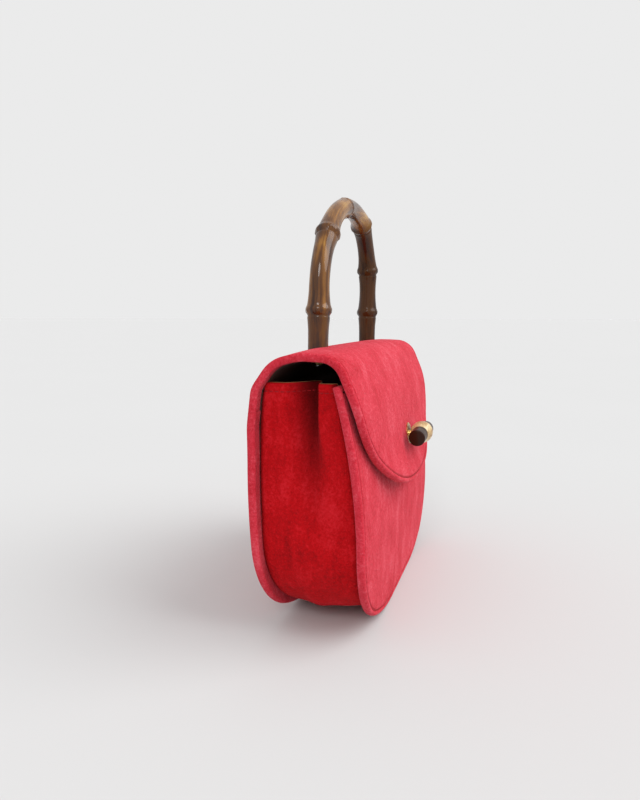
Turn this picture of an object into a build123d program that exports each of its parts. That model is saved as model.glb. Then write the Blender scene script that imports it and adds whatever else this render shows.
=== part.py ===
from build123d import *
from math import asin, cos, radians, sin, sqrt
import os

# Structured top-handle flap bag, millimetres.
# Origin: middle of the base, on the surface that the bag stands on.
# X runs along the width, -Y is the front with the lock, +Z is up.

os.makedirs("parts", exist_ok=True)

# ---- driving dimensions ----
half_width = 105.0          # middle to the outer edge of a panel
mouth_height = 140.0        # top edge of the front panel
flange = 6.0                # panel edge that stands proud of the gusset
panel_thickness = 4.6
board_thickness = 1.6
lining_thickness = 1.0
gusset_cover = 1.3
gusset_lining = 0.9
joint_gap = 0.3             # between the front panel and the strip it swings from

base_flat = 30.0            # half of the level stretch of a panel's bottom edge
base_radius = 130.0         # gentle rise of the bottom edge towards a corner
base_turn = 20.0            # degrees of that rise

front_y = -23.6             # inner face of the front panel at its foot
front_straight = 45.0       # height where the front panel starts to lean back
front_radius = 345.0
back_foot = (23.5, 0.0)     # inner face of the back panel, as (y, z)
back_belly = (31.9, 79.0)
back_top = (29.6, 138.0)

flap_thickness = 4.4
flap_cover_thickness = 2.0
flap_board_thickness = 1.4
hinge_z = 141.2             # where the back panel ends and the flap starts
tongue_tip = 72.5           # lowest point of the flap
flap_corners = [            # side view of its outside, as (y, z), before rounding
    (38.4, -20.0), (36.7, 118.0), (34.2, 138.0), (23.5, 153.0), (8.0, 157.0),
    (-14.0, 156.0), (-25.5, 129.0), (-30.8, 98.0), (-38.5, 77.0), (-42.0, 60.0),
]
flap_rounds = [60, 14, 20, 40, 16, 80, 60, 30]
flap_inset = 5.0            # turned edge outside the flap's board

handle_y = 11.2
handle_half_span = 60.0
bamboo_radius = 5.65
node_radius = 6.9
stud_radius = 2.0

lock_z = 98.5
cam_length = 9.0
cam_width = 3.4
slot_width = 4.4
slot_rise = 5.0             # extra slot above the cam, for the flap's swing
spindle_radius = 2.0
bush_radius = 3.6
running_fit = 0.05

# ---- shared places ----
front_centre = (front_y + front_radius, front_straight)
lean = asin((lock_z - front_straight) / front_radius)
lock_out = Vector(0, -cos(lean), sin(lean))
panel_skin_y = front_centre[0] - sqrt((front_radius + panel_thickness) ** 2 - (lock_z - front_straight) ** 2)
panel_plane = Plane(origin=(0, panel_skin_y, lock_z), x_dir=(1, 0, 0), z_dir=lock_out)
reach = 130.0               # past every outline, for cutting shapes


# ---- outlines and layers ----
def panel_prism(inset, top):
    """Block with a panel's outline: a U with a gently rising foot, reaching past front and back."""
    turn = radians(base_turn)
    rise = (base_flat + base_radius * sin(turn), base_radius * (1 - cos(turn)))
    radius = (half_width - rise[0]) / (1 - sin(turn))
    centre_z = rise[1] + radius * cos(turn)
    with BuildPart() as prism:
        with BuildSketch(Plane.XZ):
            with BuildLine():
                foot = Line((0, inset), (base_flat, inset))
                CenterArc((base_flat, base_radius), base_radius - inset, -90, base_turn)
                corner = CenterArc((half_width - radius, centre_z), radius - inset, -90 + base_turn, 90 - base_turn)
                side = Line(corner @ 1, (half_width - inset, top))
                Line(side @ 1, (0, top))
                Line((0, top), foot @ 0)
            make_face()
            mirror(about=Plane.YZ)
        extrude(amount=reach, both=True)
    return prism.part


def front_layer(near, far):
    """Front panel material between two depths, counted outward from its inner face."""
    with BuildPart() as layer:
        with BuildSketch(Plane.YZ):
            with BuildLine():
                inner = CenterArc(front_centre, front_radius + near, 180, -20)
                outer = CenterArc(front_centre, front_radius + far, 180, -20)
                inner_foot = Line(inner @ 0, (front_y - near, -10))
                outer_foot = Line(outer @ 0, (front_y - far, -10))
                Line(inner_foot @ 1, outer_foot @ 1)
                Line(inner @ 1, outer @ 1)
            make_face()
        extrude(amount=reach, both=True)
    return layer.part


def back_curve():
    """Centre and radius of the back panel's inner face."""
    arc = ThreePointArc(back_foot, back_belly, back_top)
    return (arc.arc_center.X, arc.arc_center.Y), arc.radius


back_centre, back_radius = back_curve()


def back_layer(near, far):
    """Back panel material between two depths, counted outward from its inner face."""
    with BuildPart() as layer:
        with BuildSketch(Plane.YZ):
            with BuildLine():
                inner = CenterArc(back_centre, back_radius + near, -15, 30)
                outer = CenterArc(back_centre, back_radius + far, -15, 30)
                Line(inner @ 0, outer @ 0)
                Line(inner @ 1, outer @ 1)
            make_face()
        extrude(amount=reach, both=True)
    return layer.part


def cavity():
    """Space between the two panels, clear of the front one by the joint gap."""
    with BuildPart() as space:
        with BuildSketch(Plane.YZ):
            with BuildLine():
                front = CenterArc(front_centre, front_radius - joint_gap, 180, -20)
                foot = Line(front @ 0, (front_y + joint_gap, -10))
                back = CenterArc(back_centre, back_radius, -15, 30)
                Line(foot @ 1, back @ 0)
                Line(front @ 1, back @ 1)
            make_face()
        extrude(amount=reach, both=True)
    return space.part


def flap_section(depth):
    """The flap seen from the side, filled in and shrunk by a depth."""
    with BuildPart() as section:
        with BuildSketch(Plane.YZ):
            with BuildLine():
                skin = FilletPolyline(flap_corners, radius=flap_rounds)
                Polyline(skin @ 1, (-42, -20), skin @ 0)
            make_face()
            if depth > 0:
                offset(amount=-depth, kind=Kind.ARC)
        extrude(amount=reach, both=True)
    return section.part


def flap_window(inset):
    """Block that holds the flap's outline: ends, tongue, and the cut above the hinge."""
    side = half_width - inset
    tip = tongue_tip + inset
    bend = Vector(70 - 0.49 * inset, 89.5 + 0.87 * inset)
    with BuildPart() as window:
        with BuildSketch(Plane.XZ):
            with BuildLine():
                shoulder = Bezier((side, 138), (side, 117), bend + Vector(25, 14), bend)
                tongue = Bezier(bend, bend - Vector(18, 10.1), (30, tip), (0, tip))
                Polyline(tongue @ 1, (0, 175), (side, 175), shoulder @ 0)
            make_face()
            mirror(about=Plane.YZ)
        extrude(amount=reach)
        with BuildSketch(Plane.XY.offset(hinge_z + inset)):
            with Locations((0, 30)):
                Rectangle(2 * side, 60)
        extrude(amount=30)
    return window.part


def flap_layer(near, far, inset):
    """Flap material between two depths from the outside, inset from its edges."""
    return (flap_section(near) - flap_section(far)) & flap_window(inset)


print("lean at the lock", round(lean * 57.2958, 2), "panel skin y", round(panel_skin_y, 2))


# ---- back panel ----
back_pocket = flange + gusset_cover + gusset_lining + joint_gap

with BuildPart() as back_cover:
    add(back_layer(0, panel_thickness) & panel_prism(0, hinge_z) & flap_section(0))
    add(back_layer(0, board_thickness + lining_thickness) & panel_prism(back_pocket, 132), mode=Mode.SUBTRACT)

with BuildPart() as back_board:
    add(back_layer(lining_thickness, board_thickness + lining_thickness) & panel_prism(back_pocket, 132))

with BuildPart() as back_lining:
    add(back_layer(0, lining_thickness) & panel_prism(back_pocket, 132))


# ---- bottom strip, which carries on up the sides as the gussets ----
strip_top = 56.0            # where the fold in a gusset begins


def strip_layer(near, far, low, high):
    """Part of the strip between the panels, as a layer of the inset outline."""
    with BuildPart() as layer:
        add(panel_prism(flange + near, mouth_height + 5) - panel_prism(flange + far, mouth_height + 20))
        add(cavity(), mode=Mode.INTERSECT)
        with BuildSketch(Plane.XY.offset(low)):
            Rectangle(2 * reach, 2 * reach)
        extrude(amount=high - low, mode=Mode.INTERSECT)
    return layer.part


strip_board = gusset_cover + board_thickness

# the cover is one strip of suede, kept as three solids so that collision follows its curve
base_covers = {}
for name, left, right in (
    ("base_cover", -base_flat, base_flat),
    ("base_corner_left", -reach, -base_flat),
    ("base_corner_right", base_flat, reach),
):
    with BuildPart() as stretch:
        add(strip_layer(0, gusset_cover, 0, strip_top))
        with BuildSketch(Plane.XY):
            with Locations(((left + right) / 2, 0)):
                Rectangle(right - left, 2 * reach)
        extrude(amount=strip_top, mode=Mode.INTERSECT)
    base_covers[name] = stretch.part

with BuildPart() as base_board:
    add(strip_layer(gusset_cover, strip_board, 0, strip_top - 4))

with BuildPart() as base_lining:
    add(strip_layer(strip_board, strip_board + gusset_lining, 0, strip_top - 4))


# ---- side gussets with an inward fold ----
fold_depth = 15.0
foot_crease = 0.3           # depth that the fold starts with
fold_y = 1.5
fold_half = 10.8
gusset_x = half_width - flange


def fold_points(side, near, far, depth):
    """Plan of a gusset at one height, between two depths from its outside."""
    outer = [(40, 0), (fold_y + fold_half, 0), (fold_y, depth), (fold_y - fold_half, 0), (-40, 0)]
    ring = [(side * (gusset_x - near - d), y) for y, d in outer]
    return ring + [(side * (gusset_x - far - d), y) for y, d in reversed(outer)]


def gusset_layer(side, near, far, low, high):
    """One gusset layer: flat at the foot of the fold and deepest at the mouth."""
    slope = fold_depth / (mouth_height - strip_top)
    with BuildPart() as layer:
        for height in (low, high):
            with BuildSketch(Plane.XY.offset(height)):
                depth = foot_crease + slope * (height - strip_top)
                Polygon(*fold_points(side, near, far, depth), align=None)
        loft(ruled=True)
        add(cavity(), mode=Mode.INTERSECT)
    return layer.part


binding_low = mouth_height - 2.2
binding_high = mouth_height + 0.6
gussets = {}
for side, name in ((-1, "left"), (1, "right")):
    with BuildPart() as gusset:
        add(gusset_layer(side, 0, gusset_cover, strip_top, binding_low))
    gussets["gusset_" + name] = gusset.part
    with BuildPart() as side_lining:
        add(gusset_layer(side, gusset_cover, gusset_cover + gusset_lining, strip_top, binding_low))
    gussets["gusset_lining_" + name] = side_lining.part
    with BuildPart() as binding:
        add(gusset_layer(side, -0.3, gusset_cover + gusset_lining + 0.3, binding_low, binding_high))
    gussets["gusset_binding_" + name] = binding.part


# ---- front panel, with a window behind the lock plate ----
plate_width = 24.0
plate_height = 32.0
plate_thickness = 1.0
rivet_radius = 1.2
window_width = 13.0
window_height = 21.0
rivet_spots = GridLocations(17.0, 25.0, 2, 2).local_locations


def lock_block(width, height, near, far, round_by):
    """Rounded block on the front panel's lock plane, between two heights along its axis."""
    with BuildPart() as block:
        with BuildSketch(panel_plane.offset(near)):
            RectangleRounded(width, height, round_by)
        extrude(amount=far - near)
    return block.part


def rivet_pins(radius, near, far):
    """Four round pins at the corners of the lock plate."""
    with BuildPart() as pins:
        with BuildSketch(panel_plane.offset(near)):
            with Locations(*rivet_spots):
                Circle(radius)
        extrude(amount=far - near)
    return pins.part


window = lock_block(window_width, window_height, -panel_thickness + lining_thickness, 2, 4)

with BuildPart() as front_cover:
    add(front_layer(0, panel_thickness) & panel_prism(0, mouth_height))
    add(front_layer(0, board_thickness + lining_thickness) & panel_prism(back_pocket, 133), mode=Mode.SUBTRACT)
    add(window, mode=Mode.SUBTRACT)
    add(rivet_pins(rivet_radius, -4, 2), mode=Mode.SUBTRACT)

with BuildPart() as front_board:
    add(front_layer(lining_thickness, board_thickness + lining_thickness) & panel_prism(back_pocket, 133))
    add(lock_block(plate_width + 0.4, plate_height + 0.4, -5, 2, 4), mode=Mode.SUBTRACT)

with BuildPart() as front_lining:
    add(front_layer(0, lining_thickness) & panel_prism(back_pocket, 133))

# the cam needs its way up out of the window as the flap swings open
slot_height = cam_length + slot_rise
slot_lift = slot_rise / 2 - 0.4

with BuildPart() as catch_plate:
    add(lock_block(plate_width, plate_height, 0.05, plate_thickness, 4))
    with BuildSketch(panel_plane):
        with Locations((0, slot_lift)):
            SlotOverall(slot_height, slot_width, rotation=90)
    extrude(amount=3, both=True, mode=Mode.SUBTRACT)
    add(rivet_pins(rivet_radius, -4, 3), mode=Mode.SUBTRACT)

backplate_near = -panel_thickness + lining_thickness + 0.35
with BuildPart() as catch_backplate:
    add(lock_block(plate_width, plate_height, backplate_near, backplate_near + 0.8, 4))
    add(window, mode=Mode.SUBTRACT)
    add(rivet_pins(rivet_radius, -6, 2), mode=Mode.SUBTRACT)

with BuildPart() as catch_rivets:
    add(rivet_pins(rivet_radius, backplate_near, plate_thickness))
    add(rivet_pins(rivet_radius + 0.8, plate_thickness, plate_thickness + 0.35))


# ---- flap ----
board_far = flap_cover_thickness + flap_board_thickness
leg_clearance = 0.3
leg_spots = [(-handle_half_span, handle_y), (handle_half_span, handle_y)]
bar_length = 150.0
bar_width = 14.0
leg_floor = 154.2           # where the bamboo legs stand on the steel bar


def round_posts(spots, radius, low, high):
    """Upright round posts at the handle's legs."""
    with BuildPart() as posts:
        with BuildSketch(Plane.XY.offset(low)):
            with Locations(*spots):
                Circle(radius)
        extrude(amount=high - low)
    return posts.part


def lock_disc(radius, near, far):
    """Round piece on the lock's axis."""
    with BuildPart() as disc:
        with BuildSketch(panel_plane.offset(near)):
            Circle(radius)
        extrude(amount=far - near)
    return disc.part


with BuildPart() as bar_space:
    with BuildSketch(Plane.XY.offset(120)):
        with Locations((0, handle_y)):
            Rectangle(bar_length, bar_width)
    extrude(amount=60)

with BuildPart() as flap_cover:
    add(flap_layer(0, board_far, 0))
    add(flap_layer(flap_cover_thickness, board_far, flap_inset), mode=Mode.SUBTRACT)
    add(round_posts(leg_spots, bamboo_radius + leg_clearance, 140, 165), mode=Mode.SUBTRACT)
    add(lock_disc(bush_radius, -5, 15), mode=Mode.SUBTRACT)

with BuildPart() as flap_board:
    add(flap_layer(flap_cover_thickness, board_far, flap_inset))
    add(bar_space.part, mode=Mode.SUBTRACT)
    add(lock_disc(bush_radius, -5, 15), mode=Mode.SUBTRACT)

with BuildPart() as crown_bar:
    add(flap_layer(flap_cover_thickness, board_far, flap_inset) & bar_space.part)
    add(round_posts(leg_spots, bamboo_radius + leg_clearance, leg_floor - 0.5, 165), mode=Mode.SUBTRACT)
    add(round_posts(leg_spots, stud_radius, 140, 165), mode=Mode.SUBTRACT)

with BuildPart() as flap_lining:
    add(flap_layer(board_far, flap_thickness, 1.0))
    add(round_posts(leg_spots, stud_radius, 140, 165), mode=Mode.SUBTRACT)
    add(lock_disc(bush_radius, -5, 15), mode=Mode.SUBTRACT)


# ---- bamboo handle, standing on the steel bar in the crown ----
handle_corners = [          # middle line as (x, z) before rounding; bent by hand, so not quite even
    (-60.0, leg_floor), (-56.5, 205.0), (-30.0, 236.0), (8.0, 247.5),
    (42.0, 240.0), (61.5, 214.0), (60.0, leg_floor),
]
handle_rounds = [45, 60, 80, 35, 45]
node_places = [0.075, 0.28, 0.46, 0.63, 0.76, 0.905]
node_half = 5.0
stud_bore = 20.0

with BuildPart() as handle:
    with BuildLine(Plane.XZ.offset(-handle_y)) as handle_line:
        FilletPolyline(*handle_corners, radius=handle_rounds)
    path = handle_line.wire()
    with BuildSketch(Plane(origin=path @ 0, z_dir=path % 0)):
        Circle(bamboo_radius)
    sweep(path=path)
    for place in node_places:
        middle = Plane(origin=path @ place, z_dir=path % place)
        with BuildSketch(middle.offset(-node_half)):
            Circle(bamboo_radius)
        with BuildSketch(middle):
            Circle(node_radius)
        with BuildSketch(middle.offset(node_half)):
            Circle(bamboo_radius)
        loft()
    add(round_posts(leg_spots, stud_radius, leg_floor - 1, leg_floor + stud_bore), mode=Mode.SUBTRACT)

washer_radius = 5.0
washer_top = 151.6
washer_thickness = 1.0
nut_thickness = 3.0
nut_floor = washer_top - washer_thickness - nut_thickness

with BuildPart() as handle_studs:
    add(round_posts(leg_spots, stud_radius, nut_floor - 0.6, leg_floor + stud_bore))

with BuildPart() as handle_washers:
    add(round_posts(leg_spots, washer_radius, washer_top - washer_thickness, washer_top + 2))
    add(flap_section(flap_thickness), mode=Mode.INTERSECT)
    add(round_posts(leg_spots, stud_radius, 140, 165), mode=Mode.SUBTRACT)

with BuildPart() as handle_nuts:
    with BuildSketch(Plane.XY.offset(nut_floor)):
        with Locations(*leg_spots):
            RegularPolygon(radius=3.5, side_count=6, major_radius=False)
    extrude(amount=nut_thickness)
    chamfer(handle_nuts.faces().sort_by(Axis.Z)[0].edges(), length=0.4)
    add(round_posts(leg_spots, stud_radius, 140, 165), mode=Mode.SUBTRACT)


# ---- turn-lock: bush in the flap, cam behind the slotted plate, bamboo toggle in front ----
bush_low = 1.6              # heights along the lock's axis, from the front panel's skin
bush_high = 8.3
toggle_low = 8.6
toggle_half = 19.0
toggle_radius = 5.2
toggle_waist = 4.8
toggle_node = 7.2
cam_high = -0.35
cam_thickness = 1.4
screw_radius = 1.7
shank_radius = 1.0

with BuildPart() as lock_bush:
    add(lock_disc(bush_radius, bush_low, bush_high))
    add(lock_disc(7.0, 4.0, bush_high) - flap_section(0))
    chamfer(lock_bush.faces().sort_by(Axis.Y)[0].edges(), length=0.4)
    add(lock_disc(spindle_radius + running_fit, 0, 12), mode=Mode.SUBTRACT)

with BuildPart() as lock_washer:
    add(lock_disc(9.0, bush_low, 4.0))
    add(flap_section(flap_thickness), mode=Mode.INTERSECT)
    add(lock_disc(bush_radius, 0, 12), mode=Mode.SUBTRACT)

with BuildPart() as lock_cam:
    with BuildSketch(panel_plane.offset(cam_high - cam_thickness)):
        SlotOverall(cam_length, cam_width, rotation=90)
    extrude(amount=cam_thickness)
    add(lock_disc(shank_radius, -5, 5), mode=Mode.SUBTRACT)

with BuildPart() as lock_spindle:
    add(lock_disc(spindle_radius, cam_high, toggle_low + toggle_node + 2))
    add(lock_disc(shank_radius, -5, 6), mode=Mode.SUBTRACT)

with BuildPart() as lock_screw:
    add(lock_disc(shank_radius, cam_high - cam_thickness, 6))
    add(lock_disc(screw_radius, cam_high - cam_thickness - 0.9, cam_high - cam_thickness))

with BuildPart() as lock_toggle:
    toggle_plane = Plane(
        origin=panel_plane.offset(toggle_low + toggle_node).origin, x_dir=(1, 0, 0), z_dir=panel_plane.y_dir
    )
    with BuildSketch(toggle_plane):
        with BuildLine():
            profile = Spline(
                (-toggle_half, toggle_radius - 0.8), (-toggle_half + 2, toggle_radius),
                (-toggle_half / 2, toggle_waist), (0, toggle_node), (toggle_half / 2, toggle_waist),
                (toggle_half - 2, toggle_radius), (toggle_half, toggle_radius - 0.8),
            )
            Polyline(profile @ 1, (toggle_half, 0), (-toggle_half, 0), profile @ 0)
        make_face()
    revolve(axis=Axis(toggle_plane.origin, (1, 0, 0)))
    add(lock_disc(spindle_radius, 0, toggle_low + toggle_node + 2), mode=Mode.SUBTRACT)


# ---- write every piece ----
pieces = {
    "back_cover": back_cover.part, "back_board": back_board.part, "back_lining": back_lining.part,
    **base_covers, "base_board": base_board.part, "base_lining": base_lining.part,
    **gussets,
    "front_cover": front_cover.part, "front_board": front_board.part, "front_lining": front_lining.part,
    "catch_plate": catch_plate.part, "catch_backplate": catch_backplate.part, "catch_rivets": catch_rivets.part,
    "flap_cover": flap_cover.part, "flap_board": flap_board.part, "crown_bar": crown_bar.part,
    "flap_lining": flap_lining.part,
    "handle": handle.part, "handle_studs": handle_studs.part, "handle_washers": handle_washers.part,
    "handle_nuts": handle_nuts.part,
    "lock_bush": lock_bush.part, "lock_washer": lock_washer.part, "lock_cam": lock_cam.part,
    "lock_spindle": lock_spindle.part, "lock_screw": lock_screw.part, "lock_toggle": lock_toggle.part,
}
for name, shape in pieces.items():
    shape.label = name
    export_step(shape, "parts/" + name + ".step")
    print(name, len(shape.solids()), round(shape.volume))
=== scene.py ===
# %% [markdown]
# # A small suede flap bag with a bamboo handle
# The packed model gives every rigid and moving piece at its true size.  This lesson dresses it:
# the suede panels, the folded gusset, the linings, the stitching, the bamboo and the brass.

# %% Load the frame
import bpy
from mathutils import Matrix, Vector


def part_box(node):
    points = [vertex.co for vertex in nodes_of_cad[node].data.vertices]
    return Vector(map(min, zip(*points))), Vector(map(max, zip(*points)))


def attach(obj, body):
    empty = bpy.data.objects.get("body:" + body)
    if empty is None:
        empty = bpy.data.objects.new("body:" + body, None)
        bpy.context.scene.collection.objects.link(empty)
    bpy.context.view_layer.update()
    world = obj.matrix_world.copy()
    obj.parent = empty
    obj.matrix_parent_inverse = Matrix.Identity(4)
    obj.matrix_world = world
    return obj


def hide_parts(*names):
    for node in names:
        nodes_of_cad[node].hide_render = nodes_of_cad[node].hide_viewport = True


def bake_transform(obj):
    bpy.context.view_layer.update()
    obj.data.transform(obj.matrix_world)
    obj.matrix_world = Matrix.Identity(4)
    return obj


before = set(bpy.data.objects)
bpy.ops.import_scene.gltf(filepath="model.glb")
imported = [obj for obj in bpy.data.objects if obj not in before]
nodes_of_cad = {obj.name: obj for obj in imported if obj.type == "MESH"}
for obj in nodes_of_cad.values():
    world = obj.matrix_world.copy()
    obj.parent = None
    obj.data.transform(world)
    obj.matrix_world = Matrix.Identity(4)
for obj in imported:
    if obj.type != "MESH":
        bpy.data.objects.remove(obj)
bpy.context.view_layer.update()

# %% Tools for this lesson
import math
import bpy
import numpy as np
from mathutils import Matrix, Vector, noise

mm = 0.001
print("pieces in the model:", len(nodes_of_cad))

# %% [markdown]
# ## Shader maths as plain expressions
# A node graph is easier to read as arithmetic.  `Value` wraps one socket, so `1 - mask * 0.5` makes the
# Math nodes for us.  Colours go through Mix nodes, because a Math node would turn them grey.

# %% A socket that can be added and multiplied
class Value:
    """One output socket, or a number, that takes part in sums."""

    def __init__(self, shader, socket):
        self.shader = shader
        self.socket = socket

    def sum_with(self, operation, first, second, clamp=False):
        settings = {"operation": operation, "use_clamp": clamp}
        return self.shader.node("Math", settings, {0: first, 1: second})

    def __add__(self, other):
        return self.sum_with("ADD", self, other)

    def __sub__(self, other):
        return self.sum_with("SUBTRACT", self, other)

    def __mul__(self, other):
        return self.sum_with("MULTIPLY", self, other)

    def __rsub__(self, other):
        return self.sum_with("SUBTRACT", other, self)

    __radd__ = __add__
    __rmul__ = __mul__

    def clamped(self):
        return self.sum_with("ADD", self, 0.0, clamp=True)

    def above(self, low, high):
        """0 below low, 1 above high, and a soft step between them."""
        return self.shader.node(
            "MapRange", {"interpolation_type": "SMOOTHSTEP"},
            {"Value": self, "From Min": low, "From Max": high},
        )


print("a Value can be", ", ".join(name for name in vars(Value) if not name.startswith("_")))

# %% A material that writes itself
class Shader:
    """A material with its Principled shader and short ways to add nodes."""

    def __init__(self, name, **constants):
        self.material = bpy.data.materials.new(name)
        self.material.use_nodes = True
        self.tree = self.material.node_tree
        self.surface = self.tree.nodes["Principled BSDF"]
        for socket, number in constants.items():
            self.surface.inputs[socket.replace("_", " ")].default_value = number

    def node(self, kind, settings=None, inputs=None, output=0):
        made = self.tree.nodes.new("ShaderNode" + kind)
        for name, setting in (settings or {}).items():
            if name == "stops":
                ramp = made.color_ramp
                while len(ramp.elements) < len(setting):
                    ramp.elements.new(0.5)
                for element, (place, colour) in zip(ramp.elements, setting):
                    element.position = place
                    element.color = (*colour, 1)
            else:
                setattr(made, name, setting)
        for name, value in (inputs or {}).items():
            if isinstance(value, Value):
                self.tree.links.new(value.socket, made.inputs[name])
            elif value is not None:
                made.inputs[name].default_value = value
        return Value(self, made.outputs[output])

    def place(self, scale=(1, 1, 1)):
        """Coordinates fixed to the object, stretched along each axis."""
        here = self.node("TexCoord", output="Object")
        return self.node("Mapping", {}, {"Vector": here, "Scale": scale})

    def attribute(self, name, output="Vector"):
        return self.node("Attribute", {"attribute_name": name}, output=output)

    def noise(self, where, scale, detail=2.0, roughness=0.5, distortion=0.0):
        sockets = {"Vector": where, "Scale": scale, "Detail": detail}
        sockets.update({"Roughness": roughness, "Distortion": distortion})
        return self.node("TexNoise", {}, sockets)

    def cells(self, where, scale):
        return self.node("TexVoronoi", {"feature": "F1"}, {"Vector": where, "Scale": scale})

    def ramp(self, value, *stops):
        return self.node("ValToRGB", {"stops": stops}, {"Fac": value})

    def mix(self, share, first, second):
        """Mix two colours; each is a colour or a socket."""
        made = self.tree.nodes.new("ShaderNodeMix")
        made.data_type = "RGBA"
        for socket, value in zip((made.inputs[0], made.inputs[6], made.inputs[7]), (share, first, second)):
            if isinstance(value, Value):
                self.tree.links.new(value.socket, socket)
            else:
                socket.default_value = (*value, 1) if isinstance(value, tuple) else value
        return Value(self, made.outputs[2])

    def bump(self, height, distance, strength=1.0, below=None):
        return self.node(
            "Bump", {}, {"Height": height, "Distance": distance, "Strength": strength, "Normal": below}
        )

    def feed(self, **sockets):
        """Link values to the Principled shader's own sockets."""
        for name, value in sockets.items():
            self.tree.links.new(value.socket, self.surface.inputs[name.replace("_", " ")])
        return self.material


print("a Shader can", ", ".join(name for name in vars(Shader) if not name.startswith("_")))

# %% [markdown]
# ## Suede
# Suede is the brushed flesh side of leather.  Its short fibres lie this way and that, so a dyed red skin
# shows pale and dark patches, and its edges glow where light grazes the nap.  Wide noise gives the
# stroked patches, fine noise the fibres, and sheen on the shader gives the glow.  Painted shade darkens
# the suede under a row of stitches and deep in a fold: each suede piece carries that painted shade on its
# points.  The panels' suede and the strip's are lit and shaded copies of one skin: the panels' is painted
# paler and pinker as painted light, the strip's darker as painted shade on the bag's sides, so there are
# two.

# %% Suede material
def make_suede(name, deep, lit, pale, nap_tint, nap, patchy, flecked):
    shader = Shader(
        name, Sheen_Weight=nap, Sheen_Roughness=0.42, Sheen_Tint=(*nap_tint, 1), Specular_IOR_Level=0.12,
    )
    here = shader.place()
    strokes = shader.noise(shader.place((1.0, 1.0, 0.4)), 120, detail=3, roughness=0.6, distortion=0.8)
    clouds = shader.noise(here, 34, detail=3, roughness=0.55, distortion=0.4)
    fibres = shader.noise(here, 620, detail=3, roughness=0.7)
    flecks = shader.noise(here, 1500, detail=1)
    tone = ((strokes + clouds) * patchy + fibres * 1.2 - (0.10 + patchy)).clamped()
    skin = shader.ramp(tone, (0.10, deep), (0.55, lit), (0.95, pale))
    brushed = shader.mix(flecks.above(0.56, 0.74) * flecked, skin, pale)
    # Painted shade in folds and under stitches: there the suede is mixed towards a much darker red.
    pressed = shader.attribute("pressed", "Fac")
    colour = shader.mix((pressed * 0.88).clamped(), brushed, tuple(part * 0.16 for part in deep))
    rough = 0.80 + fibres * 0.18
    fuzz = shader.bump(fibres, 0.9 * mm, 0.9)
    normal = shader.bump(strokes, 1.2 * mm, 0.6, below=fuzz)
    return shader.feed(Base_Color=colour, Roughness=rough, Normal=normal)


# Lit and shaded copies of one suede: the panels' copy is painted paler and pinker as painted light, the
# strip's darker as painted shade on the bag's sides.
suede = make_suede(
    "red_suede", deep=(0.43, 0.009, 0.018), lit=(0.59, 0.032, 0.054), pale=(0.71, 0.110, 0.142),
    nap_tint=(1.0, 0.34, 0.40), nap=0.17, patchy=0.80, flecked=0.35,
)
strip_suede_shaded = make_suede(
    "red_suede_strip_shaded", deep=(0.29, 0.001, 0.003), lit=(0.46, 0.002, 0.005), pale=(0.60, 0.013, 0.022),
    nap_tint=(1.0, 0.20, 0.26), nap=0.03, patchy=0.95, flecked=0.50,
)
print("suede nodes:", len(suede.node_tree.nodes))

# %% [markdown]
# ## Leather, thread, metal and board
# The lining is smooth dark leather with a fine pebble grain: cells for the pebbles, noise for the wear.
# The brass is polished, so only its roughness and colour wander a little.

# %% Leather, thread, metal and board materials
def make_leather(name, dark, light, grain=1500):
    shader = Shader(name, Specular_IOR_Level=0.45)
    here = shader.place()
    pebbles = shader.cells(here, grain)
    wear = shader.noise(here, 60, detail=4, roughness=0.6)
    colour = shader.mix((wear * 0.8 + pebbles * 0.3).clamped(), dark, light)
    rough = 0.38 + wear * 0.25
    creases = shader.bump(pebbles, 0.10 * mm, 0.6)
    return shader.feed(Base_Color=colour, Roughness=rough, Normal=creases)


def make_metal(name, dark, bright, polish):
    shader = Shader(name, Metallic=1.0)
    here = shader.place()
    tarnish = shader.noise(here, 220, detail=4, roughness=0.65)
    scratches = shader.noise(shader.place((1, 9, 9)), 700, detail=2)
    colour = shader.mix(tarnish.above(0.3, 0.7), dark, bright)
    rough = polish + tarnish * 0.16 + scratches * 0.06
    scored = shader.bump(scratches, 0.02 * mm, 0.4)
    return shader.feed(Base_Color=colour, Roughness=rough, Normal=scored)


def make_thread(name, dark, light):
    shader = Shader(name, Sheen_Weight=0.06, Specular_IOR_Level=0.15)
    here = shader.place()
    ply = shader.noise(here, 3500, detail=1)
    hank = shader.noise(here, 90, detail=1)
    colour = shader.mix((ply * 0.7 + hank * 0.4).clamped(), dark, light)
    twist = shader.bump(ply, 0.08 * mm, 0.8)
    return shader.feed(Base_Color=colour, Roughness=0.55 + ply * 0.3, Normal=twist)


def make_board(name, dark, light):
    shader = Shader(name)
    here = shader.place()
    pulp = shader.noise(here, 500, detail=5, roughness=0.7)
    colour = shader.mix(pulp, dark, light)
    fibres = shader.bump(pulp, 0.1 * mm, 0.5)
    return shader.feed(Base_Color=colour, Roughness=0.75 + pulp * 0.2, Normal=fibres)


lining_leather = make_leather("dark_lining", (0.055, 0.026, 0.022), (0.150, 0.078, 0.064))
binding_leather = make_leather("tan_binding", (0.30, 0.15, 0.05), (0.62, 0.38, 0.16), grain=2400)
brass = make_metal("brass", (0.52, 0.34, 0.11), (0.87, 0.66, 0.30), 0.16)
steel = make_metal("zinc_steel", (0.36, 0.37, 0.39), (0.62, 0.63, 0.65), 0.28)
thread = make_thread("red_thread", (0.24, 0.003, 0.006), (0.42, 0.010, 0.016))
board = make_board("grey_board", (0.30, 0.25, 0.19), (0.52, 0.46, 0.37))
print("materials so far:", len(bpy.data.materials))

# %% [markdown]
# ## Bamboo
# The handle is a whangee cane bent over a flame.  The heat leaves brown scorches, most of all at the
# joints, over honey-coloured wood with fine long streaks, and a lacquer makes it shine.  Every bamboo
# piece carries two values on its points: `grain`, a place along and around the cane, and `scorch`.

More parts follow.
